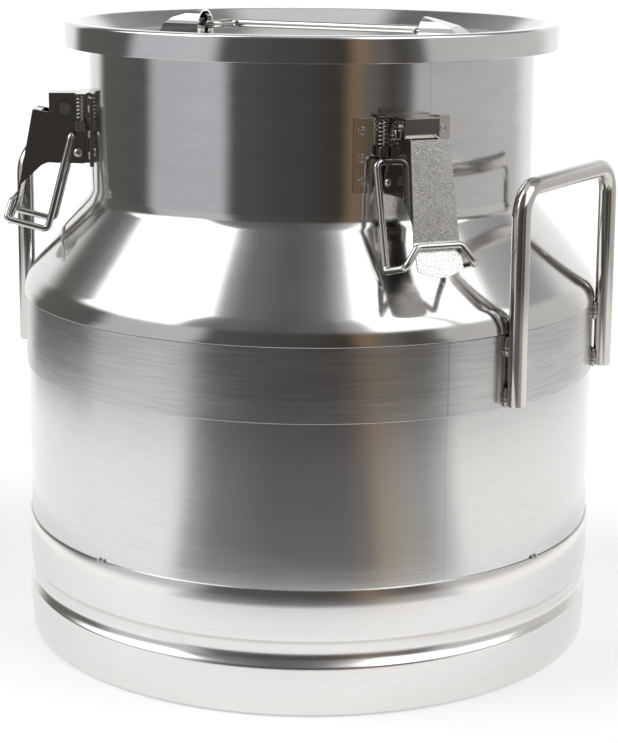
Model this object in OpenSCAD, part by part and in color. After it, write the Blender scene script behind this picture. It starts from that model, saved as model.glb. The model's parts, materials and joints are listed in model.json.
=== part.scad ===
// Twenty litre bucket can of a milking machine, with its clamped lid.
// Origin at the centre of the foot, +Z up, the front faces -Y. All sizes in millimetres.

/* [Body] */
// Outer radius of the body
body_r = 165; // [158:0.5:172]
// Height of the upper edge of the foot ring
seam_z = 70; // [64:0.5:76]
// Height of the lower edge of the shoulder band
band_bottom_z = 159; // [150:0.5:164]
// Height of the shoulder edge, where the band meets the cone
shoulder_z = 199; // [196:0.5:204]
// Sheet thickness
sheet_t = 1.2; // [1:0.1:1.4]

/* [Neck] */
// Outer radius of the neck
neck_r = 128.1; // [126:0.1:130]
// Height where the neck meets the cone
neck_z = 260.4; // [256:0.1:264]
// Height of the top of the neck flange
mouth_z = 346.2; // [345:0.1:347]

/* [Lid] */
// Outer radius of the lid rim
rim_r = 142.1; // [141:0.1:144]
// Height of the top of the lid rim
rim_top_z = 354.6; // [354:0.1:356]
// Height of the lower edge of the lid rim
rim_bottom_z = 340.5; // [339:0.1:342]
// Height of the floor of the lid's dish
dish_z = 344.5; // [344:0.1:345]
// Turn of the lid about the can's axis, degrees
lid_turn = -27; // [-60:1:60]

/* [Carrying handles] */
// Radius of the handle rod
rod_r = 5; // [4:0.1:6]
// Height of the top of the carrying handles, at the rod's centre
handle_top_z = 276; // [262:1:290]
// Height of the lower ends of the legs
handle_foot_z = 160.5; // [158:0.5:168]
// Angle from the handle's middle to each leg, degrees
leg_spread = 19.4; // [15:0.1:22]

/* [Latches] */
// Directions of the three latches about the can's axis, degrees
latch_turns = [22, -88, 147];
// Travel of the sprung hinge carriage
carriage_travel = 4.2; // [3:0.1:4.2]
// Length of a bail leg from its pivot
bail_leg = 56.5; // [54:0.5:60]

/* [Hidden] */
$fn = 96;

// Stainless sheet, brushed and polished, rod and silicone
brushed = [0.72, 0.72, 0.71];
polished = [0.82, 0.82, 0.83];
rod_steel = [0.66, 0.65, 0.63];
silicone = [0.9, 0.9, 0.88];

// Shoulder outline: a fillet under the neck, a straight cone and a round edge
cone_angle = 37.4;
neck_fillet_r = 12;
edge_round_r = 22;
lip_out = 0.7;
band_r = body_r + sheet_t;
lip_r = band_r + lip_out;
floor_z = 46;

// Foot ring: groove and rolled lower edge
groove_z = 34.9;
groove_half = 7.5;
groove_depth = 3.4;
groove_r = (groove_half * groove_half + groove_depth * groove_depth) / (2 * groove_depth);
foot_r = body_r + 1;
foot_roll_r = 2.4;

// Neck flange and the lid's channel over it
flange_bend_r = 3;
flange_r = 137.5;
channel_in_r = 134.6;
dish_r = 123.5;

// Carrying handles: leg circle and directions
leg_r = lip_r + rod_r + 0.05;
handle_turns = [58.7, -116.9];
handle_bend = 15;

// Weld beads beside the handle legs, and the paired tacks over the foot ring's edge
weld_r = 1.9;
weld_h = 7;
weld_side = 3.4;
weld_out = 0.7;
tack_r = 1.3;
tack_turns = [-42.7, 48.2, 137.3, 228.2];
tack_half_gap = 0.55;
// Sides of the cylinders that trim the beads to the walls
trim_fn = 720;

// Lid handle and its ears, along the lid's own X axis
ear_in = 71;
ear_out = 98;
ear_r = 9;
ear_wall = 1;
pivot_z = 350;
pivot_size = [6, 12, 9];
pivot_in = 4;
grip_rod_r = 2.5;
grip_end = 64;
grip_reach = 20;
grip_bend = 6;
pivot_gap = 0.06;

// Latch, in its own frame: u outward from the neck, z up, t along the neck
hinge_uz = [13.3, 304.2];
bail_uz = [9.5, 289.8];
stud_uz = [6.5, 278.7];
stud_r = 2.9;
stud_sink = 1.2;
eye_r = 6.2;
base_z0 = 272.5;
base_z1 = 313;
base_front_u = 23;
cheek_foot_u = 20;
plate_z0 = 290;
base_half = 9.6;
flange_half = 27.5;
flange_top_z = 311.6;
flange_gap_half = 8.4;
ledge_t = 13.1;
ledge_size = [7.8, 6.1];
ledge_u = 7.4;
pin_r = 1.75;
head_r = 3.4;
head_t = 1;
bail_rod_r = 1.9;
run_fit = 0.06;
slide_gap = 0.4;
wing_in = 9.9;
wing_t = 1;
wing_flare = 2;
lever_top_uz = [31.3, 303.3];
lever_tilt = 10.65;
lever_len = 51.9;
tongue_tilt = 22;
tongue_len = 18.4;
tongue_round = 3.3;
spring_t = 14.4;
spring_u = 4.8;
spring_or = 2.5;
spring_ir = 1.6;
seat_z0 = 292;
seat_z1 = 297.2;
arm_z1 = 294;
arm_u0 = 1.9;
arm_u1 = 3.5;
arm_half = 12.5;
arm_slot_w = 3.1;
yoke_half = 8.1;
yoke_t = 1.1;
yoke_u0 = 5;
yoke_u1 = 6.2;
yoke_out_u = 17;
yoke_top_z = 307.3;
spring_z1 = base_z1 - sheet_t;
bail_tilt = 14.8;
bail_run = 24.4;
bail_rise = 10;
bail_half = 19.5;
crossbar_half = 12;

// Outlines
function arc(c, r, a0, a1, n = 10) =
    [for (i = [0:n]) c + r * [cos(a0 + (a1 - a0) * i / n), sin(a0 + (a1 - a0) * i / n)]];
function unit(v) = v / norm(v);
function left_of(a, b) = let (d = unit(b - a)) [-d.y, d.x];
function corner_shift(p, i) =
    let (last = len(p) - 1,
         a = i > 0 ? left_of(p[i - 1], p[i]) : left_of(p[0], p[1]),
         b = i < last ? left_of(p[i], p[i + 1]) : left_of(p[last - 1], p[last]))
    (a + b) / (1 + a * b);
// A closed outline: the path and the same path moved t to its left
function sheet(path, t = sheet_t) =
    concat(path, [for (i = [len(path) - 1:-1:0]) path[i] + t * corner_shift(path, i)]);

module tube(r1, r0, z0, z1) {
    translate([0, 0, z0])
        difference() {
            cylinder(r = r1, h = z1 - z0);
            translate([0, 0, -1]) cylinder(r = r0, h = z1 - z0 + 2);
        }
}

// Rods bent through points, with true round bends
function bend_angle(a, b) = acos(max(-1, min(1, a * b)));
function trim(p, i, bend) =
    (i == 0 || i == len(p) - 1) ? 0
    : bend * tan(bend_angle(unit(p[i] - p[i - 1]), unit(p[i + 1] - p[i])) / 2);

module straight_rod(a, b, r) {
    d = b - a;
    tilt = acos(d.z / norm(d));
    turn = atan2(d.y, d.x);
    translate(a) rotate([0, tilt, turn]) cylinder(r = r, h = norm(d), $fn = 32);
}

module round_bend(p0, p1, p2, r, bend) {
    a = unit(p1 - p0);
    b = unit(p2 - p1);
    ang = bend_angle(a, b);
    c = p1 + unit(b - a) * bend / cos(ang / 2);
    x = (p1 - a * bend * tan(ang / 2) - c) / bend;
    z = cross(x, a);
    multmatrix([[x.x, a.x, z.x, c.x], [x.y, a.y, z.y, c.y], [x.z, a.z, z.z, c.z]])
        rotate_extrude(angle = ang) translate([bend, 0]) circle(r = r, $fn = 32);
}

module bent_rod(p, r, bend) {
    for (i = [0:len(p) - 2]) {
        d = unit(p[i + 1] - p[i]);
        straight_rod(p[i] + d * trim(p, i, bend), p[i + 1] - d * trim(p, i + 1, bend), r);
    }
    for (i = [1:len(p) - 2])
        round_bend(p[i - 1], p[i], p[i + 1], r, bend);
}

// Can
module body_shell() {
    color(brushed)
        tube(body_r, body_r - sheet_t, floor_z - 1, shoulder_z);
}

module body_bottom() {
    edge = body_r - sheet_t;
    path = concat([[0.01, floor_z - 3]], arc([edge - 8, floor_z + 5], 8, -90, 0, 6),
                  [[edge, floor_z + 12]]);
    color(brushed)
        rotate_extrude($fn = 128) polygon(sheet(path, 1));
}

module foot_ring() {
    half_arc = asin(groove_half / groove_r);
    path = concat(
        [[foot_r - 6, 0.6]],
        [[foot_r - 5, 0]],
        arc([foot_r - 0.8 - foot_roll_r, foot_roll_r], foot_roll_r, -90, 0, 5),
        arc([foot_r - groove_depth + groove_r, groove_z], groove_r, 180 + half_arc, 180 - half_arc, 10),
        [[foot_r, seam_z]]);
    color(brushed)
        rotate_extrude($fn = 128) polygon(sheet(path, 1));
}

module foot_tacks() {
    color(polished)
        difference() {
            for (a = tack_turns)
                for (s = [-1, 1])
                    rotate([0, 0, a + s * tack_half_gap])
                        translate([0, -foot_r - 0.1, seam_z - 0.4])
                            sphere(r = tack_r, $fn = 96);
            translate([0, 0, seam_z - 4]) cylinder(r = foot_r + 0.08, h = 4.06, $fn = trim_fn);
            translate([0, 0, seam_z - 1]) cylinder(r = body_r + 0.08, h = 4, $fn = trim_fn);
        }
}

module shoulder_cone() {
    path = concat(
        arc([lip_r - edge_round_r, shoulder_z + 0.6], edge_round_r, 0, cone_angle, 8),
        arc([neck_r + neck_fillet_r, neck_z], neck_fillet_r, 180 + cone_angle, 180, 6));
    color(polished)
        rotate_extrude($fn = 128)
            polygon(sheet(concat([[lip_r - 0.3, shoulder_z], [lip_r, shoulder_z + 0.3]], path)));
}

module shoulder_band() {
    color(brushed)
        tube(band_r, body_r, band_bottom_z, shoulder_z);
}

module neck_shell() {
    path = concat(
        [[neck_r, neck_z]],
        arc([neck_r + flange_bend_r - sheet_t, mouth_z - flange_bend_r],
            flange_bend_r - sheet_t, 180, 90, 5),
        [[flange_r - sheet_t, mouth_z - sheet_t], [flange_r - sheet_t, mouth_z - 4.4]]);
    color(polished)
        rotate_extrude($fn = 128) polygon(sheet(path));
}

// Carrying handles
module carrying_handle(a) {
    x = round(leg_r * sin(leg_spread) * 10) / 10;
    y = round(leg_r * cos(leg_spread) * 10) / 10;
    rotate([0, 0, a])
        translate([0, -y, handle_top_z])
            bent_rod([[-x, 0, handle_foot_z - handle_top_z], [-x, 0, 0],
                      [x, 0, 0], [x, 0, handle_foot_z - handle_top_z]], rod_r, handle_bend);
}

module handle_right() {
    color(rod_steel) carrying_handle(handle_turns[0]);
}

module handle_left() {
    color(rod_steel) carrying_handle(handle_turns[1]);
}

module handle_welds() {
    color(rod_steel)
        for (a = handle_turns, leg = [-1, 1])
            rotate([0, 0, a + leg * leg_spread])
                difference() {
                    for (side = [-1, 1], z = [handle_foot_z + 1, shoulder_z - weld_h - 3])
                        translate([side * weld_side, -band_r - weld_out, z]) {
                            cylinder(r = weld_r, h = weld_h, $fn = 96);
                            translate([0, 0, weld_h]) sphere(r = weld_r, $fn = 96);
                        }
                    translate([0, -leg_r, handle_foot_z - 1])
                        cylinder(r = rod_r + 0.02, h = 60, $fn = trim_fn);
                    translate([0, 0, handle_foot_z - 1]) cylinder(r = band_r + 0.1, h = 60, $fn = trim_fn);
                }
}

// Lid
module lid_pan() {
    path = concat(
        [[rim_r - 0.6, rim_bottom_z], [rim_r, rim_bottom_z + 0.8]],
        arc([rim_r - 2, rim_top_z - 2], 2, 0, 90, 5),
        arc([channel_in_r + 1, rim_top_z - 2.2], 2.2, 90, 136, 3),
        [[dish_r, dish_z], [0.01, dish_z]]);
    color(brushed)
        rotate_extrude($fn = 128) polygon(sheet(path));
}

module lid_gasket() {
    r0 = channel_in_r + 1.3;
    r1 = rim_r - sheet_t - 0.1;
    top = rim_top_z - sheet_t - 0.05;
    color(silicone)
        rotate_extrude($fn = 128)
            polygon([[r0, mouth_z], [r1, mouth_z], [r1, top - 1.05], [r1 - 0.9, top],
                     [r0 + 0.4, top], [r0, top - 0.4]]);
}

module ear_outline(r) {
    circle(r = r, $fn = 48);
    translate([-r, -2 * r]) square([2 * r, 2 * r]);
}

module ear_side(drop) {
    polygon([[ear_in - drop, dish_z], [ear_in - drop, rim_top_z + 4.3 - drop],
             [ear_in + 17.5, rim_top_z - 0.6 - drop], [ear_in + 23, rim_top_z - 4 - drop],
             [ear_out - 2 * drop, dish_z]]);
}

module ear_solid(drop) {
    intersection() {
        translate([ear_in - 2, 0, rim_top_z + 4.3 - ear_r])
            rotate([90, 0, 90]) linear_extrude(ear_out - ear_in + 4) ear_outline(ear_r - drop);
        rotate([90, 0, 0]) linear_extrude(4 * ear_r, center = true) ear_side(drop);
    }
}

module lid_ear() {
    difference() {
        ear_solid(0);
        translate([0, 0, -0.01]) ear_solid(ear_wall);
    }
}

module lid_pivot() {
    difference() {
        translate([ear_in + pivot_in, -pivot_size.y / 2, dish_z]) cube(pivot_size);
        translate([ear_in, 0, pivot_z]) rotate([0, 90, 0])
            cylinder(r = grip_rod_r + pivot_gap, h = 20, $fn = 48);
    }
}

module lid_ear_right() {
    color(polished) rotate([0, 0, lid_turn]) lid_ear();
}

module lid_ear_left() {
    color(polished) rotate([0, 0, lid_turn + 180]) lid_ear();
}

module lid_pivot_right() {
    color(polished) rotate([0, 0, lid_turn]) lid_pivot();
}

module lid_pivot_left() {
    color(polished) rotate([0, 0, lid_turn + 180]) lid_pivot();
}

module lid_handle() {
    end = ear_in + 13;
    color(rod_steel) rotate([0, 0, lid_turn])
        bent_rod([[-end, 0, pivot_z], [-grip_end, 0, pivot_z], [-grip_end, grip_reach, pivot_z],
                  [grip_end, grip_reach, pivot_z], [grip_end, 0, pivot_z], [end, 0, pivot_z]],
                 grip_rod_r, grip_bend);
}

// Latches
// Puts a part drawn at u, t, z on the neck in a latch's direction
module at_latch(i) {
    rotate([0, 0, latch_turns[i]]) translate([0, -neck_r, 0]) children();
}

// Draws an outline in u, z and gives it a width along t
module across(width, t = 0) {
    translate([t, 0, 0]) rotate([90, 0, -90]) linear_extrude(width, center = true) children();
}

module pin_across(uz, r, half) {
    translate([-half, -uz.x, uz.y]) rotate([0, 90, 0]) cylinder(r = r, h = 2 * half, $fn = 48);
}

module slot_outline(uz, r, travel) {
    translate(uz) circle(r = r, $fn = 32);
    translate([uz.x, uz.y + travel]) circle(r = r, $fn = 32);
    translate([uz.x - r, uz.y]) square([2 * r, travel]);
}

module latch_base() {
    difference() {
        intersection() {
            translate([0, neck_r, 0]) tube(neck_r + sheet_t, neck_r, base_z0, flange_top_z);
            translate([-flange_half, -20, base_z0]) cube([2 * flange_half, 40, 60]);
        }
        translate([-flange_gap_half, -20, base_z0 - 1]) cube([2 * flange_gap_half, 40, 60]);
    }
    for (s = [-1, 1])
        difference() {
            across(sheet_t, s * (base_half - sheet_t / 2))
                polygon([[0, base_z0], [cheek_foot_u, base_z0], [base_front_u, plate_z0],
                         [base_front_u, base_z1], [0, base_z1]]);
            across(sheet_t * 2, s * (base_half - sheet_t / 2)) {
                slot_outline(hinge_uz, pin_r + slide_gap, carriage_travel);
                translate([arm_u0 - slide_gap, seat_z0 - slide_gap])
                    square([arm_slot_w, arm_z1 - seat_z0 + carriage_travel + 2 * slide_gap]);
            }
        }
    translate([-base_half, -base_front_u, plate_z0])
        cube([2 * base_half, sheet_t, base_z1 - plate_z0]);
    translate([-base_half, -base_front_u, spring_z1])
        cube([2 * base_half, base_front_u - 0.3, sheet_t]);
    for (s = [-1, 1])
        translate([s * ledge_t - ledge_size.x / 2, -ledge_u, spring_z1])
            cube([ledge_size.x, ledge_size.y, sheet_t]);
}

module latch_springs() {
    for (s = [-1, 1])
        translate([s * spring_t, -spring_u, 0])
            tube(spring_or, spring_ir, seat_z1, spring_z1, $fn = 32);
}

module latch_carriage() {
    difference() {
        union() {
            for (s = [-1, 1])
                across(yoke_t, s * (yoke_half - yoke_t / 2))
                    polygon([[yoke_u0, seat_z0], [yoke_u0 + 4, seat_z0], [yoke_out_u, 299],
                             [yoke_out_u, yoke_top_z], [yoke_u0, yoke_top_z]]);
            translate([-yoke_half, -yoke_u1, seat_z0])
                cube([2 * yoke_half, yoke_u1 - yoke_u0, yoke_top_z - seat_z0]);
        }
        pin_across(hinge_uz, pin_r + run_fit, 12);
    }
    translate([-yoke_half, -yoke_u1, seat_z0])
        cube([2 * yoke_half, yoke_u1 - arm_u0, arm_z1 - seat_z0]);
    translate([-arm_half, -arm_u1, seat_z0])
        cube([2 * arm_half, arm_u1 - arm_u0, arm_z1 - seat_z0]);
    for (s = [-1, 1])
        translate([s * spring_t - spring_or, -spring_u - spring_or, seat_z0])
            cube([2 * spring_or, spring_u + spring_or - arm_u0, seat_z1 - seat_z0]);
}

module latch_hinge_pin() {
    half = wing_in + wing_t + 0.3;
    pin_across(hinge_uz, pin_r, half + head_t - 0.1);
    for (s = [-1, 1])
        translate([s * half, -hinge_uz.x, hinge_uz.y]) rotate([0, s * 90, 0])
            rotate_extrude() translate([1, 0]) square([head_r - 1, head_t]);
}

module wing_outline() {
    translate(hinge_uz) circle(r = eye_r, $fn = 48);
    polygon([[7.6, 307], [2.2, 283.8], [2.8, 272.1], [24, 272.7], [27.5, 271.2],
             [39.4, 260.2], lever_top_uz, [22.1, 301.4], [19, 302]]);
}

module lever_face() {
    top_w = 2 * (wing_in + wing_t);
    end_w = top_w + 2 * lever_len * sin(wing_flare);
    translate([0, -lever_top_uz.x, lever_top_uz.y]) {
        rotate([90 - lever_tilt, 0, 0]) linear_extrude(1)
            polygon([[-top_w / 2, 0], [top_w / 2, 0], [end_w / 2, -lever_len], [-end_w / 2, -lever_len]]);
        translate([0, -lever_len * sin(lever_tilt), -lever_len * cos(lever_tilt)])
            rotate([90 - tongue_tilt, 0, 0]) linear_extrude(1)
                intersection() {
                    translate([-end_w / 2, -tongue_len]) square([end_w, tongue_len]);
                    translate([0, tongue_round]) circle(r = tongue_len + tongue_round, $fn = 64);
                }
    }
}

module latch_lever() {
    difference() {
        for (s = [-1, 1])
            translate([0, 0, hinge_uz.y]) rotate([0, -s * wing_flare, 0]) translate([0, 0, -hinge_uz.y])
                across(wing_t, s * (wing_in + wing_t / 2)) wing_outline();
        pin_across(hinge_uz, pin_r + run_fit, 20);
        pin_across(bail_uz, bail_rod_r + run_fit, 20);
    }
    across(2 * wing_in + wing_t) polygon([lever_top_uz, [27.6, 302.54], [27.8, 301.5], [31.5, 302.28]]);
    lever_face();
}

module latch_studs() {
    spread = (hinge_uz.y - stud_uz.y) * tan(wing_flare) + wing_in + wing_t;
    for (s = [-1, 1])
        translate([s * (spread + 0.12), -stud_uz.x, stud_uz.y])
            intersection() {
                translate([s * -stud_sink, 0, 0]) sphere(r = stud_r, $fn = 32);
                translate([s > 0 ? 0.02 : -5.02, -5, -5]) cube([5, 10, 10]);
            }
}

// Drawn hanging straight down from the pivot, then tilted outward
module latch_bail() {
    foot = -bail_leg;
    hook = foot + bail_rise;
    translate([0, -bail_uz.x, bail_uz.y]) rotate([-bail_tilt, 0, 0])
        bent_rod([[-10, 0, 0], [-bail_half, 0, 0], [-bail_half, 0, foot],
                  [-bail_half, -bail_run, foot], [-crossbar_half, -bail_run, hook],
                  [crossbar_half, -bail_run, hook], [bail_half, -bail_run, foot],
                  [bail_half, 0, foot], [bail_half, 0, 0], [10, 0, 0]], bail_rod_r, 3);
}

module latch_front_base() { color(polished) at_latch(0) latch_base(); }
module latch_left_base() { color(polished) at_latch(1) latch_base(); }
module latch_rear_base() { color(polished) at_latch(2) latch_base(); }
module latch_front_springs() { color(rod_steel) at_latch(0) latch_springs(); }
module latch_left_springs() { color(rod_steel) at_latch(1) latch_springs(); }
module latch_rear_springs() { color(rod_steel) at_latch(2) latch_springs(); }
module latch_front_carriage() { color(polished) at_latch(0) latch_carriage(); }
module latch_left_carriage() { color(polished) at_latch(1) latch_carriage(); }
module latch_rear_carriage() { color(polished) at_latch(2) latch_carriage(); }
module latch_front_hinge_pin() { color(rod_steel) at_latch(0) latch_hinge_pin(); }
module latch_left_hinge_pin() { color(rod_steel) at_latch(1) latch_hinge_pin(); }
module latch_rear_hinge_pin() { color(rod_steel) at_latch(2) latch_hinge_pin(); }
module latch_front_lever() { color(brushed) at_latch(0) latch_lever(); }
module latch_left_lever() { color(brushed) at_latch(1) latch_lever(); }
module latch_rear_lever() { color(brushed) at_latch(2) latch_lever(); }
module latch_front_studs() { color(polished) at_latch(0) latch_studs(); }
module latch_left_studs() { color(polished) at_latch(1) latch_studs(); }
module latch_rear_studs() { color(polished) at_latch(2) latch_studs(); }
module latch_front_bail() { color(rod_steel) at_latch(0) latch_bail(); }
module latch_left_bail() { color(rod_steel) at_latch(1) latch_bail(); }
module latch_rear_bail() { color(rod_steel) at_latch(2) latch_bail(); }

body_shell();
body_bottom();
foot_ring();
foot_tacks();
shoulder_cone();
shoulder_band();
neck_shell();
handle_right();
handle_left();
handle_welds();
lid_pan();
lid_gasket();
lid_ear_right();
lid_ear_left();
lid_pivot_right();
lid_pivot_left();
lid_handle();
latch_front_base();
latch_front_springs();
latch_front_carriage();
latch_front_hinge_pin();
latch_front_lever();
latch_front_studs();
latch_front_bail();
latch_left_base();
latch_left_springs();
latch_left_carriage();
latch_left_hinge_pin();
latch_left_lever();
latch_left_studs();
latch_left_bail();
latch_rear_base();
latch_rear_springs();
latch_rear_carriage();
latch_rear_hinge_pin();
latch_rear_lever();
latch_rear_studs();
latch_rear_bail();
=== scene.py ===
import json
import math
import bpy
from mathutils import Matrix, Vector

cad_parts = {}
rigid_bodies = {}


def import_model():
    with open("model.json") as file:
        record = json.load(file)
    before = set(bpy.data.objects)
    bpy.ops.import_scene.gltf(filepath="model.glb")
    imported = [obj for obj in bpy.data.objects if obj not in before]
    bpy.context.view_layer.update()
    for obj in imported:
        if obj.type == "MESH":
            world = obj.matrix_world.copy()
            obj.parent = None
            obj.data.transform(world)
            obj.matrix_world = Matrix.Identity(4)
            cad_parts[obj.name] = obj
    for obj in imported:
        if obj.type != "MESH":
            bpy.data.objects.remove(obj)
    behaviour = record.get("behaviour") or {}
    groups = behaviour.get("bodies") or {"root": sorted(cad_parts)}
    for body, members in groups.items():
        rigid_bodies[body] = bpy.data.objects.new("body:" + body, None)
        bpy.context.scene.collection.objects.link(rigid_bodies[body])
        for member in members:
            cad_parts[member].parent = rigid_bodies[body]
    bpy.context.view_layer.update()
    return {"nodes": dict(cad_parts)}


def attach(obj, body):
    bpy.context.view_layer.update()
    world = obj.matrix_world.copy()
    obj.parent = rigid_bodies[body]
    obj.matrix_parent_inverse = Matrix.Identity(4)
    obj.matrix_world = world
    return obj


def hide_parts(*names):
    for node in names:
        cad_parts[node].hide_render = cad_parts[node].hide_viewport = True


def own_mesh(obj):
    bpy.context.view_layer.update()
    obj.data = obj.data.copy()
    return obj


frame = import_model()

mm = 0.001
latchTurns = {"front": 22, "left": -88, "rear": 147}


# camera, first, so that every stage can be looked at
lens = {"place": (-0.0008, -1.1079, 0.4178), "pitch": 0.18206, "roll": 0.00694, "focal": 92.52,
        "shift": -0.15}


def makeCamera():
    bpy.ops.object.camera_add(location=lens["place"])
    camera = bpy.context.object
    look = Matrix.Rotation(math.pi / 2 - lens["pitch"], 4, "X") @ Matrix.Rotation(lens["roll"], 4, "Z")
    camera.matrix_world = Matrix.Translation(lens["place"]) @ look
    camera.data.sensor_width = 36
    camera.data.lens = lens["focal"]
    camera.data.shift_y = lens["shift"]
    camera.data.clip_end = 60
    bpy.context.scene.camera = camera


makeCamera()
print("camera set")


# small helpers for modelling
def nothingSelected():
    if bpy.context.object and bpy.context.object.mode != "OBJECT":
        bpy.ops.object.mode_set(mode="OBJECT")
    bpy.ops.object.select_all(action="DESELECT")


def named(name):
    piece = bpy.context.object
    piece.name = name
    piece.data.name = name
    return piece


def selectOnly(piece):
    nothingSelected()
    piece.select_set(True)
    bpy.context.view_layer.objects.active = piece


def settle(piece, smoothAngle=35):
    selectOnly(piece)
    bpy.ops.object.transform_apply(location=True, rotation=True, scale=True)
    bpy.ops.object.shade_smooth_by_angle(angle=math.radians(smoothAngle))
    return piece


def applyAll(piece):
    selectOnly(piece)
    for modifier in list(piece.modifiers):
        bpy.ops.object.modifier_apply(modifier=modifier.name)


def arc(centre, radius, start, end, count):
    steps = [math.radians(start + (end - start) * i / count) for i in range(count + 1)]
    return [(centre[0] + radius * math.cos(a), centre[1] + radius * math.sin(a)) for a in steps]


def sheetOutline(path, wall):  # the path, then the same path moved to its left
    moved = []
    for i, (x, z) in enumerate(path):
        sides = []
        for a, b in ((i - 1, i), (i, i + 1)):
            if 0 <= a and b < len(path):
                dx, dz = path[b][0] - path[a][0], path[b][1] - path[a][1]
                size = math.hypot(dx, dz)
                sides.append((-dz / size, dx / size))
        first, last = sides[0], sides[-1]
        grow = 1 + first[0] * last[0] + first[1] * last[1]
        moved.append((x + wall * (first[0] + last[0]) / grow, z + wall * (first[1] + last[1]) / grow))
    return list(path) + moved[::-1]


def turned(name, outline, steps=192):  # a closed outline of (radius, height) in mm, spun about Z
    nothingSelected()
    bpy.ops.mesh.primitive_circle_add(vertices=len(outline), radius=0.1)
    piece = named(name)
    for vertex, (r, z) in zip(piece.data.vertices, outline):
        vertex.co = (0, -r * mm, z * mm)
    bpy.ops.object.mode_set(mode="EDIT")
    bpy.ops.mesh.select_all(action="SELECT")
    bpy.ops.mesh.spin(steps=steps, angle=2 * math.pi, center=(0, 0, 0), axis=(0, 0, 1))
    bpy.ops.mesh.select_all(action="SELECT")
    bpy.ops.mesh.remove_doubles(threshold=0.00002)
    bpy.ops.mesh.normals_make_consistent(inside=False)
    bpy.ops.object.mode_set(mode="OBJECT")
    return settle(piece)


def rod(name, points, radius, bend, sides=28, bendSteps=10):  # round rod through points in mm
    points = [Vector(p) * mm for p in points]
    radius, bend = radius * mm, bend * mm
    nothingSelected()
    first = (points[1] - points[0]).normalized()
    bpy.ops.mesh.primitive_circle_add(vertices=sides, radius=radius, location=points[0],
                                      rotation=first.to_track_quat("Z", "Y").to_euler())
    piece = named(name)
    bpy.ops.object.transform_apply(location=True, rotation=True, scale=True)
    bpy.ops.object.mode_set(mode="EDIT")
    bpy.ops.mesh.select_all(action="SELECT")
    used = 0.0
    for i in range(1, len(points)):
        along = (points[i] - points[i - 1]).normalized()
        trim, turn = 0.0, 0.0
        if i < len(points) - 1:
            onward = (points[i + 1] - points[i]).normalized()
            turn = along.angle(onward)
            trim = bend * math.tan(turn / 2)
        reach = (points[i] - points[i - 1]).length - used - trim
        bpy.ops.mesh.extrude_region_move(TRANSFORM_OT_translate={"value": along * reach})
        if turn:
            centre = points[i] + (onward - along).normalized() * bend / math.cos(turn / 2)
            bpy.ops.mesh.spin(steps=bendSteps, angle=-turn, center=centre, axis=along.cross(onward))
        used = trim
    bpy.ops.mesh.select_all(action="SELECT")
    bpy.ops.mesh.remove_doubles(threshold=0.00002)
    bpy.ops.mesh.fill_holes(sides=0)
    bpy.ops.mesh.normals_make_consistent(inside=False)
    bpy.ops.object.mode_set(mode="OBJECT")
    edge = piece.modifiers.new("endEdge", "BEVEL")
    edge.width, edge.segments = radius * 0.18, 2
    edge.limit_method, edge.angle_limit = "ANGLE", math.radians(60)
    applyAll(piece)
    return settle(piece, 40)


def softened(name, node, width=0.3, segments=2, breakAngle=35):  # a CAD node's copy with broken edges
    selectOnly(frame["nodes"][node])
    bpy.ops.object.duplicate()
    piece = bpy.context.object
    piece.name = name
    piece.data.name = name
    bpy.ops.object.parent_clear(type="CLEAR_KEEP_TRANSFORM")
    piece.data.materials.clear()
    bpy.ops.object.mode_set(mode="EDIT")
    bpy.ops.mesh.select_all(action="SELECT")
    bpy.ops.mesh.remove_doubles(threshold=0.000004)
    bpy.ops.mesh.dissolve_limited(angle_limit=math.radians(0.4))
    bpy.ops.object.mode_set(mode="OBJECT")
    if width:
        edge = piece.modifiers.new("brokenEdge", "BEVEL")
        edge.width, edge.segments = width * mm, segments
        edge.limit_method, edge.angle_limit = "ANGLE", math.radians(breakAngle)
        edge.use_clamp_overlap = True
        applyAll(piece)
    settle(piece, 32)
    piece.modifiers.new("flatFaces", "WEIGHTED_NORMAL").keep_sharp = True
    applyAll(piece)
    return piece


def around(piece, turn, out=0.0):  # turns a piece drawn at the front to its place round the can
    selectOnly(piece)
    place = Matrix.Rotation(math.radians(turn), 4, "Z") @ Matrix.Translation((0, -out * mm, 0))
    piece.data.transform(place @ piece.matrix_world)
    piece.matrix_world = Matrix.Identity(4)
    return piece


def joined(name, pieces):
    nothingSelected()
    for piece in pieces:
        piece.select_set(True)
    bpy.context.view_layer.objects.active = pieces[0]
    bpy.ops.object.join()
    return named(name)


def fitted(piece, body, slot, material, *nodes):
    piece.data.materials.clear()
    piece.data.materials.append(material)
    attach(piece, body)
    if nodes:
        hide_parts(*nodes)
    return piece


# finishes
def newGroup(name, inputs, outputs):
    group = bpy.data.node_groups.new(name, "ShaderNodeTree")
    for label, value in inputs:
        socket = group.interface.new_socket(label, in_out="INPUT", socket_type="NodeSocketFloat")
        socket.default_value = value
    for label in outputs:
        group.interface.new_socket(label, in_out="OUTPUT", socket_type="NodeSocketFloat")
    return group, group.nodes.new("NodeGroupInput"), group.nodes.new("NodeGroupOutput")


def mathNode(tree, kind, a, b=None, c=None, clamp=False):
    node = tree.nodes.new("ShaderNodeMath")
    node.operation, node.use_clamp = kind, clamp
    for socket, value in zip(node.inputs, (a, b, c)):
        if value is None:
            continue
        if isinstance(value, (int, float)):
            socket.default_value = value
        else:
            tree.links.new(value, socket)
    return node.outputs[0]


def times(tree, a, b):
    return mathNode(tree, "MULTIPLY", a, b)


def plus(tree, a, b):
    return mathNode(tree, "ADD", a, b)


def offCentre(tree, value):  # a pattern of 0 to 1 made to swing about 0
    return mathNode(tree, "SUBTRACT", value, 0.5)


def fromAxis(tree, x, y):  # distance from the can's axis
    return mathNode(tree, "SQRT", plus(tree, times(tree, x, x), times(tree, y, y)))


def turnAround(tree, x, y):  # angle about the can's axis, 0 at the front, in radians
    return mathNode(tree, "ARCTAN2", x, times(tree, y, -1))


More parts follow.
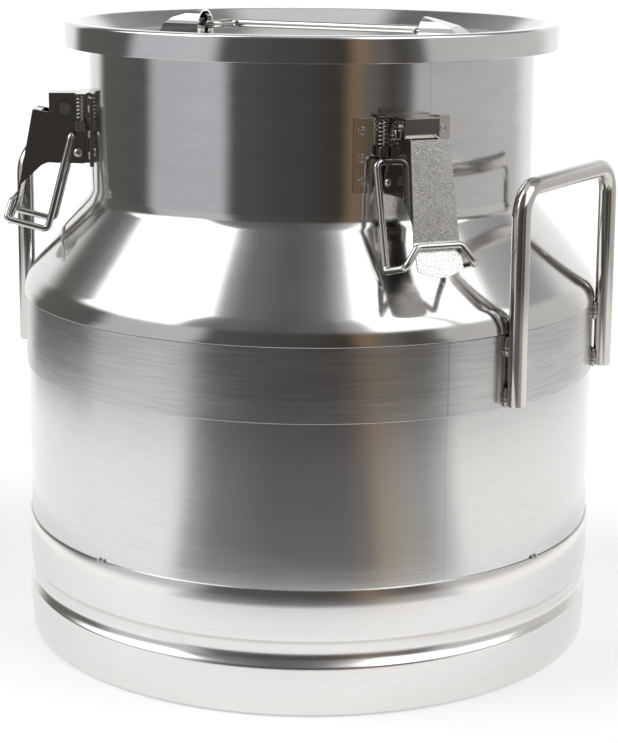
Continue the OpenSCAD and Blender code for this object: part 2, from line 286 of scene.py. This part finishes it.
def stretchedNoise(tree, x, y, z, scale, detail, rough=0.55):
    join = tree.nodes.new("ShaderNodeCombineXYZ")
    for socket, value in zip(join.inputs, (x, y, z)):
        if isinstance(value, (int, float)):
            socket.default_value = value
        else:
            tree.links.new(value, socket)
    noise = tree.nodes.new("ShaderNodeTexNoise")
    noise.inputs["Scale"].default_value = scale
    noise.inputs["Detail"].default_value = detail
    noise.inputs["Roughness"].default_value = rough
    tree.links.new(join.outputs[0], noise.inputs["Vector"])
    return noise.outputs["Fac"]


def ringBrushing():  # strokes that run round the can, and patches where they bit deeper
    group, start, end = newGroup("ringBrushing", (("fineness", 1.0), ("strokeLength", 1.0)),
                                 ("strokes", "patches", "turn"))
    coords = group.nodes.new("ShaderNodeTexCoord")
    split = group.nodes.new("ShaderNodeSeparateXYZ")
    group.links.new(coords.outputs["Object"], split.inputs[0])
    x, y, z = split.outputs
    turn = turnAround(group, x, y)
    sideways = mathNode(group, "SINE", turn)  # with the cosine, this closes the pattern at the back
    forwards = mathNode(group, "COSINE", turn)
    stretch = mathNode(group, "DIVIDE", 9.0, start.outputs["strokeLength"])
    down = plus(group, z, times(group, fromAxis(group, x, y), 0.8))
    level = times(group, down, start.outputs["fineness"])
    fine = stretchedNoise(group, times(group, sideways, stretch), times(group, forwards, stretch),
                          times(group, level, 1400.0), 1.0, 3.0, 0.6)
    wide = stretchedNoise(group, times(group, sideways, 3.0), times(group, forwards, 3.0),
                          times(group, level, 120.0), 1.0, 2.0, 0.5)
    group.links.new(fine, end.inputs["strokes"])
    group.links.new(wide, end.inputs["patches"])
    group.links.new(turn, end.inputs["turn"])
    return group


def handling():  # smears, small scratches and a fine cast grain
    group, start, end = newGroup("handling", (("size", 1.0),), ("smears", "scratches", "grain"))
    coords = group.nodes.new("ShaderNodeTexCoord")
    split = group.nodes.new("ShaderNodeSeparateXYZ")
    group.links.new(coords.outputs["Object"], split.inputs[0])
    x, y, z = [times(group, value, start.outputs["size"]) for value in split.outputs]
    smears = stretchedNoise(group, x, y, z, 22.0, 4.0, 0.6)
    scratchBase = stretchedNoise(group, times(group, x, 6.0), times(group, y, 6.0), z, 160.0, 2.0, 0.7)
    thin = mathNode(group, "GREATER_THAN", scratchBase, 0.72)
    grain = stretchedNoise(group, x, y, z, 260.0, 5.0, 0.75)
    group.links.new(smears, end.inputs["smears"])
    group.links.new(thin, end.inputs["scratches"])
    group.links.new(grain, end.inputs["grain"])
    return group


ringGroup = ringBrushing()
handGroup = handling()


def steel(name, finish):
    material = bpy.data.materials.new(name)
    material.use_nodes = True
    tree = material.node_tree
    shader = tree.nodes["Principled BSDF"]
    shader.inputs["Metallic"].default_value = 1.0
    marks = tree.nodes.new("ShaderNodeGroup")
    marks.node_tree = ringGroup
    marks.inputs["fineness"].default_value = finish.get("fineness", 1.0)
    marks.inputs["strokeLength"].default_value = finish.get("strokeLength", 1.0)
    wear = tree.nodes.new("ShaderNodeGroup")
    wear.node_tree = handGroup
    wear.inputs["size"].default_value = finish.get("wearSize", 1.0)
    strokes, patches = marks.outputs["strokes"], marks.outputs["patches"]
    smears = wear.outputs["smears"]
    depth = finish.get("depth", 0.1)
    uneven = plus(tree, times(tree, offCentre(tree, strokes), depth),
                  times(tree, offCentre(tree, patches), finish.get("patchy", 0.08)))
    value = plus(tree, plus(tree, uneven, 1.0),
                 times(tree, offCentre(tree, smears), finish.get("smear", 0.06)))
    if "grain" in finish:
        grain = offCentre(tree, wear.outputs["grain"])
        value = mathNode(tree, "MULTIPLY_ADD", grain, finish["grain"], value)
    for seamTurn, seamWidth, seamTone in finish.get("seams", ()):
        beside = mathNode(tree, "SUBTRACT", marks.outputs["turn"], math.radians(seamTurn))
        line = mathNode(tree, "LESS_THAN", mathNode(tree, "ABSOLUTE", beside), seamWidth)
        value = plus(tree, value, times(tree, line, seamTone))
    paint = tree.nodes.new("ShaderNodeMix")
    paint.data_type = "RGBA"
    paint.blend_type = "MULTIPLY"
    paint.inputs["Factor"].default_value = 1.0
    paint.inputs["A"].default_value = (*finish["tone"], 1)
    grey = tree.nodes.new("ShaderNodeCombineXYZ")
    for socket in grey.inputs:
        tree.links.new(value, socket)
    tree.links.new(grey.outputs[0], paint.inputs["B"])
    tree.links.new(paint.outputs["Result"], shader.inputs["Base Color"])
    rough = mathNode(tree, "MULTIPLY_ADD", offCentre(tree, patches), finish.get("roughSpread", 0.08),
                     finish["rough"])
    rough = mathNode(tree, "MULTIPLY_ADD", offCentre(tree, smears), finish.get("roughSmear", 0.05),
                     rough, clamp=True)
    tree.links.new(rough, shader.inputs["Roughness"])
    bump = tree.nodes.new("ShaderNodeBump")
    bump.inputs["Strength"].default_value = finish.get("bump", 0.1)
    bump.inputs["Distance"].default_value = finish.get("bumpDepth", 0.00003)
    scratches = times(tree, wear.outputs["scratches"], finish.get("scratch", 0.2))
    height = mathNode(tree, "SUBTRACT", strokes, scratches)
    if "grain" in finish:
        height = mathNode(tree, "MULTIPLY_ADD", wear.outputs["grain"], 3.0, height)
    tree.links.new(height, bump.inputs["Height"])
    tree.links.new(bump.outputs["Normal"], shader.inputs["Normal"])
    return material


bodySteel = steel("bodySteel", {
    "tone": (0.66, 0.655, 0.65), "rough": 0.17, "depth": 0.16, "patchy": 0.05, "bump": 0.25,
    "seams": ((25.5, 0.0022, -0.10),)})
bandSteel = steel("bandSteel", {
    "tone": (0.62, 0.615, 0.61), "rough": 0.24, "depth": 0.42, "patchy": 0.28, "bump": 0.55,
    "fineness": 0.55, "strokeLength": 1.6, "seams": ((25.5, 0.003, -0.18),)})
footSteel = steel("footSteel", {
    "tone": (0.79, 0.775, 0.76), "rough": 0.2, "depth": 0.12, "patchy": 0.04, "bump": 0.2})
coneSteel = steel("coneSteel", {
    "tone": (0.70, 0.69, 0.675), "rough": 0.12, "depth": 0.08, "patchy": 0.05, "bump": 0.12})
neckSteel = steel("neckSteel", {
    "tone": (0.64, 0.635, 0.63), "rough": 0.10, "depth": 0.13, "patchy": 0.16, "bump": 0.22,
    "strokeLength": 0.5, "roughSpread": 0.12, "seams": ((29.0, 0.003, -0.14),)})
lidSteel = steel("lidSteel", {
    "tone": (0.72, 0.715, 0.705), "rough": 0.10, "depth": 0.10, "patchy": 0.06, "bump": 0.14})
rodSteel = steel("rodSteel", {
    "tone": (0.60, 0.585, 0.56), "rough": 0.11, "depth": 0.05, "patchy": 0.05, "bump": 0.04,
    "wearSize": 3.0})
earSteel = steel("earSteel", {
    "tone": (0.72, 0.715, 0.705), "rough": 0.10, "depth": 0.03, "patchy": 0.02, "bump": 0.03,
    "wearSize": 3.0})
latchSteel = steel("latchSteel", {
    "tone": (0.62, 0.60, 0.575), "rough": 0.13, "depth": 0.04, "patchy": 0.06, "bump": 0.05,
    "wearSize": 4.0})
leverSteel = steel("leverSteel", {
    "tone": (0.72, 0.71, 0.69), "rough": 0.26, "depth": 0.02, "patchy": 0.02, "smear": 0.16,
    "roughSmear": 0.10, "bump": 0.55, "bumpDepth": 0.00005, "grain": 3.0, "wearSize": 5.5})
# a darker, glossier copy of the lever's steel for its sideways wing faces: painted shade standing in for the
# dark reflection on the wings
wingPaintedShade = steel("wingPaintedShade", {
    "tone": (0.40, 0.375, 0.345), "rough": 0.08, "depth": 0.03, "patchy": 0.03, "bump": 0.04,
    "wearSize": 4.0})
flangeSteel = steel("flangeSteel", {
    "tone": (0.47, 0.435, 0.395), "rough": 0.10, "depth": 0.04, "patchy": 0.05, "bump": 0.05,
    "wearSize": 4.0})
wireSteel = steel("wireSteel", {
    "tone": (0.58, 0.575, 0.565), "rough": 0.2, "depth": 0.03, "patchy": 0.02, "bump": 0.02})
weldSteel = steel("weldSteel", {
    "tone": (0.50, 0.485, 0.47), "rough": 0.32, "depth": 0.12, "patchy": 0.3, "bump": 0.5,
    "wearSize": 6.0})


def silicone():
    material = bpy.data.materials.new("gasketSilicone")
    material.use_nodes = True
    tree = material.node_tree
    shader = tree.nodes["Principled BSDF"]
    wear = tree.nodes.new("ShaderNodeGroup")
    wear.node_tree = handGroup
    ramp = tree.nodes.new("ShaderNodeValToRGB")
    ramp.color_ramp.elements[0].color = (0.72, 0.71, 0.68, 1)
    ramp.color_ramp.elements[1].color = (0.86, 0.85, 0.82, 1)
    tree.links.new(wear.outputs["smears"], ramp.inputs[0])
    tree.links.new(ramp.outputs[0], shader.inputs["Base Color"])
    shader.inputs["Roughness"].default_value = 0.45
    return material


gasketSilicone = silicone()
print("finishes made")


# the can's shells
can = {"bodyR": 165, "bodyLow": 45, "seamZ": 70, "bandZ": 159, "shoulderZ": 199, "wall": 1.2, "neckR": 128.1,
       "neckZ": 260.4, "coneAngle": 37.4, "fillet": 12, "edge": 22, "lip": 166.9, "mouthZ": 346.2,
       "footR": 166, "flangeR": 136.3, "grooveZ": 34.9, "grooveHalf": 7.5, "grooveDepth": 3.4}


def makeShells():
    wall = can["wall"]
    outer, low, high = can["bodyR"], can["bodyLow"], can["shoulderZ"] - 0.1
    inner, middle = outer - wall, 120
    body = turned("bodyWall", [(inner, low), (outer, low), (outer, middle), (outer, high), (inner, high),
                               (inner, middle)], 256)
    fitted(body, "can", "body_steel", bodySteel, "body_shell")
    reach, depth, grooveZ = can["grooveHalf"], can["grooveDepth"], can["grooveZ"]
    groove = (reach ** 2 + depth ** 2) / (2 * depth)
    half = math.degrees(math.asin(reach / groove)) * 0.93  # leaves room for the soft shoulders beside it
    side = can["footR"]
    path = ([(side - 6, 0.6), (side - 5, 0)] + arc((side - 3.2, 2.4), 2.4, -90, 0, 8)
            + [(side, 15), (side, 25.6), (side - 0.06, 26.6), (side - 0.25, 27.5)]
            + arc((side - depth + groove, grooveZ), groove, 180 + half, 180 - half, 14)
            + [(side - 0.25, 42.3), (side - 0.06, 43.2), (side, 44.2), (side, 60)]
            + [(side, can["seamZ"] - 0.8), (side - 0.35, can["seamZ"] - 0.1)])
    foot = turned("footRing", sheetOutline(path, 1.0), 256)
    fitted(foot, "can", "foot_steel", footSteel, "foot_ring")
    path = ([(can["lip"] - 0.35, can["shoulderZ"]), (can["lip"], can["shoulderZ"] + 0.35)]
            + arc((can["lip"] - can["edge"], can["shoulderZ"] + 0.6), can["edge"], 0, can["coneAngle"], 14)
            + arc((can["neckR"] + can["fillet"], can["neckZ"]), can["fillet"],
                  180 + can["coneAngle"], 180, 12))
    cone = turned("shoulderCone", sheetOutline(path, wall), 256)
    fitted(cone, "can", "shoulder_steel", coneSteel, "shoulder_cone")
    bandR, low, high = outer + wall, can["bandZ"], can["shoulderZ"] - 0.02
    band = turned("shoulderBand", [(outer, low), (bandR - 0.3, low), (bandR, low + 0.3), (bandR, high - 0.38),
                                   (bandR - 0.3, high), (outer, high)], 256)
    fitted(band, "can", "band_steel", bandSteel, "shoulder_band")
    mouth = can["mouthZ"]
    path = ([(can["neckR"], can["neckZ"] + 0.02), (can["neckR"], 300)]
            + arc((can["neckR"] + 1.8, mouth - 3), 1.8, 180, 90, 6)
            + [(can["flangeR"], mouth - wall), (can["flangeR"], mouth - 4.4)])
    neck = turned("neckWall", sheetOutline(path, wall), 256)
    fitted(neck, "can", "neck_steel", neckSteel, "neck_shell")


makeShells()
print("shells made")


# lid
lid = {"rimR": 142.1, "topZ": 354.6, "lowZ": 340.5, "dishZ": 344.5, "turn": -27, "gripZ": 350,
       "gripR": 2.5, "gripEnd": 64, "gripReach": 20, "earIn": 71}


def makeLid():
    top, dish = lid["topZ"], lid["dishZ"]
    edge, low = lid["rimR"], lid["lowZ"]
    path = ([(edge - 0.6, low), (edge - 0.12, low + 0.25), (edge, low + 0.8)]
            + arc((edge - 2, top - 2), 2, 0, 90, 8) + arc((135.6, top - 2.2), 2.2, 90, 136, 6)
            + [(125.2, 346.1), (124.0, 345.1), (122.6, 344.6)]
            + [(r, dish) for r in (120.5, 100, 60, 20, 0)])
    pan = turned("lidPan", sheetOutline(path, can["wall"]), 256)
    fitted(pan, "lid", "lid_steel", lidSteel, "lid_pan")
    seal = turned("lidSeal", [(136.2, 346.2), (140.5, 346.2), (140.8, 346.5), (140.8, 352.2), (139.9, 353.2),
                              (136.4, 353.2), (135.9, 352.7), (135.9, 346.6)], 128)
    fitted(seal, "lid", "gasket", gasketSilicone, "lid_gasket")
    for side in ("right", "left"):
        ear = softened(f"lidEar_{side}", f"lid_ear_{side}", 0.35, 3)
        fitted(ear, "lid", "ear_steel", earSteel, f"lid_ear_{side}")
        block = softened(f"lidPivot_{side}", f"lid_pivot_{side}", 0.4, 2)
        fitted(block, "lid", "ear_steel", earSteel, f"lid_pivot_{side}")
    end, near, reach, z = lid["earIn"] + 13, lid["gripEnd"], lid["gripReach"], lid["gripZ"]
    grip = rod("lidGrip", [(-end, 0, z), (-near, 0, z), (-near, reach, z), (near, reach, z), (near, 0, z),
                           (end, 0, z)], lid["gripR"], 6)
    around(grip, lid["turn"])
    fitted(grip, "lid_grip", "rod_steel", rodSteel, "lid_handle")


makeLid()
print("lid made")


# carrying handles and their welds
handles = {"turns": {"right": 58.7, "left": -116.9}, "spread": 19.4, "legR": 171.95, "top": 276,
           "foot": 160.5, "rodR": 5, "bend": 15, "beadR": 1.9, "beadLength": 7}


def weldBead(length, radius):  # a short run of overlapping puddles
    nothingSelected()
    bpy.ops.mesh.primitive_uv_sphere_add(segments=20, ring_count=28, radius=1)
    bead = named("bead")
    for vertex in bead.data.vertices:
        ripple = 1 + 0.07 * math.cos(vertex.co.z * 15)
        vertex.co = Vector((vertex.co.x * radius * ripple, vertex.co.y * radius * 0.85 * ripple,
                            vertex.co.z * (length / 2 + radius))) * mm
    return bead


def makeHandles():
    x = handles["legR"] * math.sin(math.radians(handles["spread"]))
    y = handles["legR"] * math.cos(math.radians(handles["spread"]))
    beads = []
    for side, turn in handles["turns"].items():
        low, high = handles["foot"], handles["top"]
        grip = rod(f"handleRod_{side}", [(-x, -y, low), (-x, -y, high), (x, -y, high), (x, -y, low)],
                   handles["rodR"], handles["bend"], 40, 14)
        around(grip, turn)
        fitted(grip, "can", "rod_steel", rodSteel, f"handle_{side}")
        for leg in (-1, 1):
            for z in (handles["foot"] + 4.5, 192.5):
                for flank in (-1, 1):
                    bead = weldBead(handles["beadLength"], handles["beadR"])
                    bead.data.transform(Matrix.Translation((flank * 3.1 * mm, 0, z * mm)))
                    beads.append(around(bead, turn + leg * handles["spread"], 167.2))
    welds = settle(joined("handleBeads", beads), 60)
    fitted(welds, "can", "weld_steel", weldSteel, "handle_welds")
    tacks = []
    for turn in (-42.7, 48.2, 137.3, 228.2):
        for shift in (-0.55, 0.55):
            tack = weldBead(0.3, 1.15)
            tack.data.transform(Matrix.Translation((0, 0, can["seamZ"] * mm)))
            tacks.append(around(tack, turn + shift, can["footR"] - 0.4))
    spots = settle(joined("footTackSpots", tacks), 60)
    fitted(spots, "can", "weld_steel", weldSteel, "foot_tacks")


makeHandles()
print("handles made")


# toggle latches
latch = {"neckR": 128.1, "bailU": 9.5, "bailZ": 289.8, "tilt": 14.8, "leg": 56.5, "run": 24.4, "rise": 10,
         "half": 19.5, "barHalf": 12, "wireR": 1.9, "springT": 14.4, "springU": 4.8, "springLow": 297.2,
         "springHigh": 311.8, "travel": 4.2, "spotT": 23.0, "spotZ": (305, 290.7, 278.6)}


def coil(name):  # one spring, wound by the screw modifier from a ring of wire
    nothingSelected()
    wire, mean, turns = 0.42, 2.05, 6.5
    tall = latch["springHigh"] - latch["springLow"] - 2 * wire
    bpy.ops.mesh.primitive_circle_add(vertices=10, radius=wire * mm, location=(mean * mm, 0, 0),
                                      rotation=(math.pi / 2, 0, 0))
    piece = named(name)
    bpy.ops.object.transform_apply(location=True, rotation=True, scale=True)
    wind = piece.modifiers.new("wind", "SCREW")
    wind.angle, wind.screw_offset, wind.iterations = 2 * math.pi * turns, tall * mm, 1
    wind.steps = wind.render_steps = 130
    wind.use_merge_vertices = True
    applyAll(piece)
    bpy.ops.object.mode_set(mode="EDIT")
    bpy.ops.mesh.select_all(action="SELECT")
    bpy.ops.mesh.fill_holes(sides=0)
    bpy.ops.mesh.normals_make_consistent(inside=False)
    bpy.ops.object.mode_set(mode="OBJECT")
    piece.data.transform(Matrix.Translation((0, 0, (latch["springLow"] + wire) * mm)))
    return piece


def makeBail(name):
    foot, hook = -latch["leg"], latch["rise"] - latch["leg"]
    half, bar, run = latch["half"], latch["barHalf"], latch["run"]
    bail = rod(name, [(-10, 0, 0), (-half, 0, 0), (-half, 0, foot), (-half, -run, foot), (-bar, -run, hook),
                      (bar, -run, hook), (half, -run, foot), (half, 0, foot), (half, 0, 0), (10, 0, 0)],
               latch["wireR"], 3, 20, 7)
    lean = Matrix.Rotation(math.radians(-latch["tilt"]), 4, "X")
    bail.data.transform(Matrix.Translation((0, -latch["bailU"] * mm, latch["bailZ"] * mm)) @ lean)
    return bail


def spotWeld():  # a ring pressed by the welding tip, round a low dome
    nothingSelected()
    bpy.ops.mesh.primitive_torus_add(major_radius=1.9 * mm, minor_radius=0.36 * mm, major_segments=32,
                                     minor_segments=10, rotation=(math.pi / 2, 0, 0))
    ring = named("spot")
    bpy.ops.object.transform_apply(location=True, rotation=True, scale=True)
    nothingSelected()
    bpy.ops.mesh.primitive_uv_sphere_add(segments=20, ring_count=12, radius=1 * mm, scale=(1, 0.35, 1))
    dome = named("dome")
    bpy.ops.object.transform_apply(location=True, rotation=True, scale=True)
    return joined("spot", [ring, dome])


def shadeSideFaces(piece, turn, shadeFinish, reach=0.75):  # the faces that look sideways take the second finish, a darker copy of the steel that paints shade on them
    piece.data.materials.append(shadeFinish)
    across = Vector((math.cos(math.radians(turn)), math.sin(math.radians(turn)), 0))
    for face in piece.data.polygons:
        if abs(face.normal.dot(across)) > reach:
            face.material_index = 1


def makeLatch(side, turn):
    base = softened(f"latchBase_{side}", f"latch_{side}_base", 0.42, 3)
    spots = []
    out = latch["neckR"] + can["wall"]
    for t in (-latch["spotT"], latch["spotT"]):
        lean = Matrix.Rotation(math.asin(t / out), 4, "Z")
        for z in latch["spotZ"]:
            ring = spotWeld()
            ring.data.transform(lean @ Matrix.Translation((0, -(out - 0.05) * mm, z * mm)))
            spots.append(around(ring, turn))
    fitted(base, "can", "latch_steel", flangeSteel, f"latch_{side}_base")
    fitted(settle(joined(f"latchSpots_{side}", spots), 60), "can", "latch_steel", weldSteel)
    for kind, name, body, slot, finish, width, breakAngle in (
            ("carriage", "latchCarriage", f"carriage_{side}", "latch_steel", latchSteel, 0.2, 35),
            ("hinge_pin", "latchPin", f"carriage_{side}", "rod_steel", rodSteel, 0.3, 35),
            ("lever", "latchLever", f"lever_{side}", "lever_steel", leverSteel, 0.45, 9),
            ("studs", "latchStuds", f"lever_{side}", "rod_steel", rodSteel, 0.0, 35)):
        piece = softened(f"{name}_{side}", f"latch_{side}_{kind}", width, 3, breakAngle)
        fitted(piece, body, slot, finish, f"latch_{side}_{kind}")
        if kind == "lever":
            # the lever's wings take the darker copy of its steel: painted shade
            shadeSideFaces(piece, turn, wingPaintedShade)
    coils = []
    for hand in (-1, 1):
        spring = coil(f"spring_{side}")
        spring.data.transform(Matrix.Translation((hand * latch["springT"] * mm, -latch["springU"] * mm, 0)))
        coils.append(around(spring, turn, latch["neckR"]))
    springs = settle(joined(f"latchSprings_{side}", coils), 60)
    fitted(springs, "can", "spring_steel", wireSteel, f"latch_{side}_springs")
    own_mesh(springs)
    bail = around(makeBail(f"latchBail_{side}"), turn, latch["neckR"])
    fitted(bail, f"bail_{side}", "rod_steel", rodSteel, f"latch_{side}_bail")


for side, turn in latchTurns.items():
    makeLatch(side, turn)
print("latches made")

bottom = frame["nodes"]["body_bottom"]  # the one CAD node that shows as it is, inside the can
if not bottom.data.materials:
    bottom.data.materials.append(bodySteel)
for slot in bottom.material_slots:
    slot.material = bodySteel


# the room: pale floor, white surround, dark boards in front, overhead softboxes
room = {"floorTone": 0.86, "floorGlow": 0.3, "topTone": 0.75}
# azimuth in degrees from the front, towards the right, and the light that comes from low down there
surround = ((-180, (1.1, 1.1, 1.1)), (-142, (1.0, 1.0, 1.0)), (-128, (0.13, 0.13, 0.12)),
            (-92, (0.12, 0.12, 0.115)), (-82, (0.58, 0.59, 0.62)), (-46, (0.62, 0.63, 0.66)),
            (-37, (0.10, 0.10, 0.10)), (-4, (0.075, 0.072, 0.068)), (13, (0.055, 0.05, 0.045)),
            (21, (0.26, 0.18, 0.12)), (29, (0.16, 0.145, 0.13)), (40, (0.08, 0.075, 0.07)),
            (47, (0.13, 0.125, 0.12)), (54, (0.58, 0.57, 0.56)), (120, (0.66, 0.65, 0.64)),
            (142, (1.0, 1.0, 1.0)), (180, (1.1, 1.1, 1.1)))
overhead = ((-180, 0.5), (-122, 0.16), (-113, 0.3), (-106, 2.6), (-60, 2.6), (-52, 0.34), (-40, 0.18),
            (-12, 0.12), (8, 0.16), (22, 0.5), (30, 2.2), (58, 2.2), (62, 0.6), (67, 2.0), (92, 2.0),
            (98, 0.5), (116, 0.4), (130, 0.25), (180, 0.5))


def rampAround(tree, turn, stops):  # one colour ramp over the full circle, -180 to 180 degrees
    ramp = tree.nodes.new("ShaderNodeValToRGB")
    ramp.color_ramp.interpolation = "EASE"
    elements = ramp.color_ramp.elements
    while len(elements) > 1:
        elements.remove(elements[-1])
    for i, (angle, tone) in enumerate(stops):
        element = elements[0] if i == 0 else elements.new((angle + 180) / 360)
        element.position = (angle + 180) / 360
        if isinstance(tone, (int, float)):
            tone = (tone, tone, tone)
        element.color = (*tone, 1)
    tree.links.new(turn, ramp.inputs[0])
    return ramp.outputs[0]


def blend(tree, factor, a, b):
    mix = tree.nodes.new("ShaderNodeMix")
    mix.data_type = "RGBA"
    for socket, value in ((mix.inputs["Factor"], factor), (mix.inputs["A"], a), (mix.inputs["B"], b)):
        if isinstance(value, tuple):
            socket.default_value = value
        else:
            tree.links.new(value, socket)
    return mix.outputs["Result"]


def smoothStep(tree, value, low, high):
    step = tree.nodes.new("ShaderNodeMapRange")
    step.interpolation_type = "SMOOTHSTEP"
    step.inputs["From Min"].default_value = low
    step.inputs["From Max"].default_value = high
    tree.links.new(value, step.inputs["Value"])
    return step.outputs["Result"]


def makeRoom():
    world = bpy.data.worlds.new("studio")
    bpy.context.scene.world = world
    world.use_nodes = True
    tree = world.node_tree
    tree.nodes.clear()
    out = tree.nodes.new("ShaderNodeOutputWorld")
    glow = tree.nodes.new("ShaderNodeBackground")
    coords = tree.nodes.new("ShaderNodeTexCoord")
    split = tree.nodes.new("ShaderNodeSeparateXYZ")
    tree.links.new(coords.outputs["Generated"], split.inputs[0])
    x, y, z = split.outputs
    turn = mathNode(tree, "MULTIPLY_ADD", turnAround(tree, x, y), 0.5 / math.pi, 0.5)
    height = times(tree, mathNode(tree, "ARCSINE", z), 180 / math.pi)
    low = rampAround(tree, turn, surround)
    high = rampAround(tree, turn, overhead)
    colour = blend(tree, smoothStep(tree, height, 18, 30), low, high)
    colour = blend(tree, smoothStep(tree, height, 66, 74), colour, (room["topTone"],) * 3 + (1,))
    rays = tree.nodes.new("ShaderNodeLightPath")
    colour = blend(tree, rays.outputs["Is Camera Ray"], colour, (1, 1, 1, 1))
    tree.links.new(colour, glow.inputs["Color"])
    tree.links.new(glow.outputs[0], out.inputs["Surface"])

    nothingSelected()
    bpy.ops.mesh.primitive_plane_add(size=16, location=(0, 0, -0.0003))
    floor = named("paleFloor")
    paint = bpy.data.materials.new("paleFloorPaint")
    paint.use_nodes = True
    shader = paint.node_tree.nodes["Principled BSDF"]
    shader.inputs["Base Color"].default_value = (room["floorTone"],) * 3 + (1,)
    shader.inputs["Roughness"].default_value = 0.7
    shader.inputs["Emission Color"].default_value = (1, 1, 1, 1)
    shader.inputs["Emission Strength"].default_value = room["floorGlow"]
    floor.data.materials.append(paint)


# dark mats on the floor in front, seen only in the steel: azimuth, tone close by
mats = {"inner": 0.345, "outer": 14.0}
matTones = ((-180, (1.14, 1.13, 1.12)), (-46, (1.14, 1.13, 1.12)), (-38, (0.42, 0.42, 0.43)),
            (-30, (0.23, 0.23, 0.24)), (-10, (0.155, 0.155, 0.165)),
            (10, (0.155, 0.155, 0.165)), (18, (0.21, 0.19, 0.18)), (24, (0.42, 0.35, 0.27)),
            (31, (0.46, 0.42, 0.38)), (39, (0.44, 0.44, 0.44)), (45, (0.62, 0.62, 0.62)),
            (53, (1.12, 1.11, 1.09)), (180, (1.14, 1.13, 1.12)))


def makeMats():
    nothingSelected()
    bpy.ops.mesh.primitive_plane_add(size=0.01)
    sheet = named("frontMats")
    lineUp = [Vector((0, -r, 0.0004)) for r in (mats["inner"], mats["outer"])]
    for vertex, place in zip(sheet.data.vertices, (lineUp[0], lineUp[1], lineUp[0], lineUp[1])):
        vertex.co = place
    bpy.ops.object.mode_set(mode="EDIT")
    bpy.ops.mesh.select_all(action="SELECT")
    bpy.ops.mesh.remove_doubles(threshold=0.0001)
    bpy.ops.mesh.select_all(action="SELECT")
    bpy.ops.mesh.spin(steps=72, angle=2 * math.pi, center=(0, 0, 0), axis=(0, 0, 1))
    bpy.ops.mesh.select_all(action="SELECT")
    bpy.ops.mesh.remove_doubles(threshold=0.0001)
    bpy.ops.mesh.normals_make_consistent(inside=False)
    bpy.ops.object.mode_set(mode="OBJECT")
    paint = bpy.data.materials.new("frontMatTones")
    paint.use_nodes = True
    tree = paint.node_tree
    tree.nodes.clear()
    out = tree.nodes.new("ShaderNodeOutputMaterial")
    glow = tree.nodes.new("ShaderNodeEmission")
    coords = tree.nodes.new("ShaderNodeTexCoord")
    split = tree.nodes.new("ShaderNodeSeparateXYZ")
    tree.links.new(coords.outputs["Object"], split.inputs[0])
    x, y, z = split.outputs
    turn = mathNode(tree, "MULTIPLY_ADD", turnAround(tree, x, y), 0.5 / math.pi, 0.5)
    far = fromAxis(tree, x, y)
    near = rampAround(tree, turn, matTones)
    distant = rampAround(tree, turn, surround)
    tree.links.new(blend(tree, smoothStep(tree, far, 0.55, 0.9), near, distant), glow.inputs["Color"])
    tree.links.new(glow.outputs[0], out.inputs["Surface"])
    sheet.data.materials.append(paint)
    for rays in ("camera", "diffuse", "shadow", "transmission"):
        setattr(sheet, f"visible_{rays}", False)


makeRoom()
makeMats()
bpy.context.scene.view_settings.view_transform = "Standard"
print("room made")
